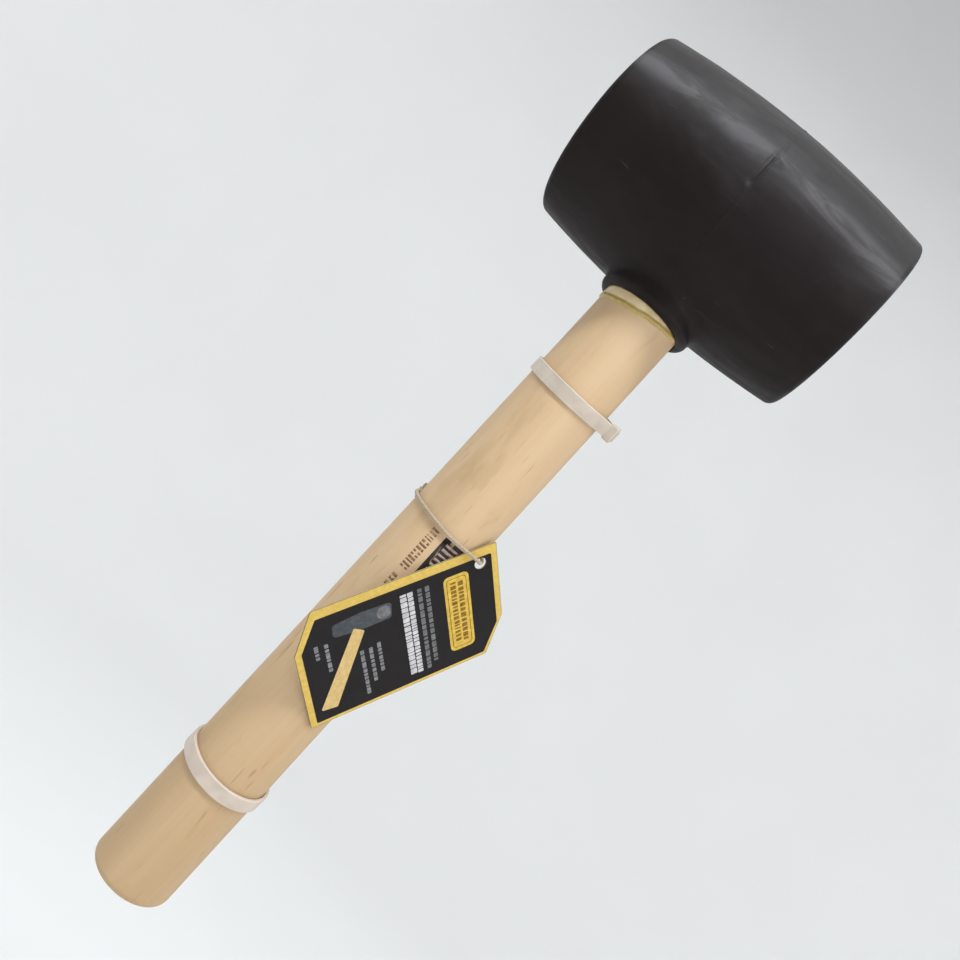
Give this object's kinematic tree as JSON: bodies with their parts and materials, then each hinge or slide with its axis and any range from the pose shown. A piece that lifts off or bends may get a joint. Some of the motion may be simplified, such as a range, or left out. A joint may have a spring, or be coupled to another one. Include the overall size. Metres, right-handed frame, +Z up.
{
  "type": "rubber mallet",
  "caption": "Rubber mallet for masonry and paving: a black barrel-shaped rubber head on a round wooden handle, with nylon ties and a card tag looped on with string.",
  "frame": {"origin": "on the handle's axis, level with the lowest line of the barrel, where the head rests when the mallet hangs by the underside of its head", "axes": "+Z up along the handle, from the butt to the head; +X along the head's axis, towards the face on the right; -Y towards the front, where the tag's printed side faces"},
  "size_m": [0.1, 0.0716, 0.3098],
  "materials": {
    "black_rubber": "moulded, half matt",
    "pale_wood": "sanded, unvarnished",
    "wedge_wood": "sawn",
    "dried_glue": "dried, satin",
    "white_nylon": "satin, slightly translucent",
    "printed_card": "printed, satin",
    "white_string": "twisted thread"
  },
  "bodies": {
    "mallet": {"rubber_head": "black_rubber", "handle": "pale_wood", "handle_wedge": "wedge_wood", "adhesive": "dried_glue", "upper_cable_tie": "white_nylon", "lower_cable_tie": "white_nylon"},
    "string_loop": {"tag_string": "white_string", "string_knot": "white_string"},
    "tag": {"hang_tag": "printed_card"}
  },
  "joints": [
    {"name": "loop_turn", "type": "hinge", "parent": "mallet", "child": "string_loop", "pos_m": [0, 0, -0.096], "axis": [0, 0, 1], "continuous": true},
    {"name": "tag_swing", "type": "hinge", "parent": "string_loop", "child": "tag", "pos_m": [0.01507, -0.00619, -0.096], "axis": [0.682, -0.7314, 0], "range_deg": [-12, 60]}
  ]
}
